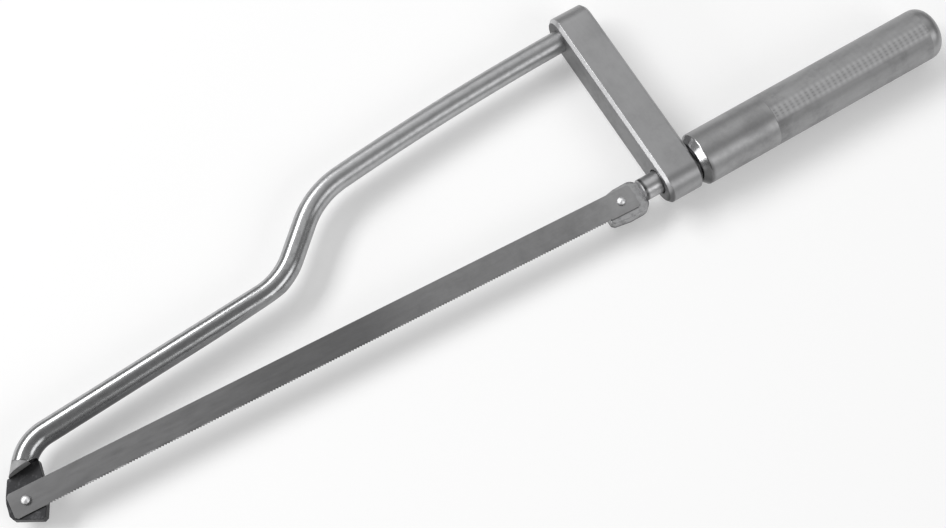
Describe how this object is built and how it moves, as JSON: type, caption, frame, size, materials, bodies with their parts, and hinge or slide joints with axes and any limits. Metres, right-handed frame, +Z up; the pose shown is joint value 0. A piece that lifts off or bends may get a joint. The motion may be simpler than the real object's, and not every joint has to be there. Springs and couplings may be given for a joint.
{
  "type": "handsaw",
  "caption": "Hacksaw with a bent round-rod frame, a rear post, a blade hooked on two pins and a round handle that turns to draw the blade tight.",
  "frame": {"origin": "middle of the saw's footprint as it lies on its side, on the floor plane under the handle", "axes": "+X from the toe to the end of the handle, +Y from the blade to the back of the frame, +Z up, out of the plane of the frame on the side of the blade"},
  "size_m": [0.489, 0.112, 0.0264],
  "materials": {
    "bright_rod": "polished plating, worn dull in places",
    "post_steel": "satin",
    "toe_steel": "blackened, dull",
    "collar_steel": "bare, dull",
    "pin_steel": "polished",
    "blade_steel": "dull grey, rolled",
    "bolt_steel": "satin",
    "black_screws": "blackened screws and thrust washer",
    "handle_aluminium": "satin, knurled"
  },
  "bodies": {
    "frame": {"frame_rod": "bright_rod", "rear_post": "post_steel", "toe_block": "toe_steel", "toe_collar": "collar_steel", "front_blade_pin": "pin_steel", "blade": "blade_steel", "guide_screw": "black_screws", "rod_screw": "black_screws", "thrust_washer": "black_screws"},
    "draw": {"draw_bolt": "bolt_steel", "rear_blade_pin": "pin_steel"},
    "grip": {"handle": "handle_aluminium", "handle_nut": "bolt_steel"}
  },
  "joints": [
    {"name": "handle_turn", "type": "hinge", "parent": "frame", "child": "grip", "pos_m": [0.10432, -0.04285, 0.0132], "axis": [1, 0, 0], "range_deg": [0, 1152]},
    {"name": "draw_slide", "type": "slide", "parent": "frame", "child": "draw", "axis": [1, 0, 0], "range_m": [-0.004, 0], "deforming": ["blade"]}
  ],
  "couplings": [
    {"joint": "handle_turn", "follows": "draw_slide", "rad_per_m": -5026.5}
  ]
}
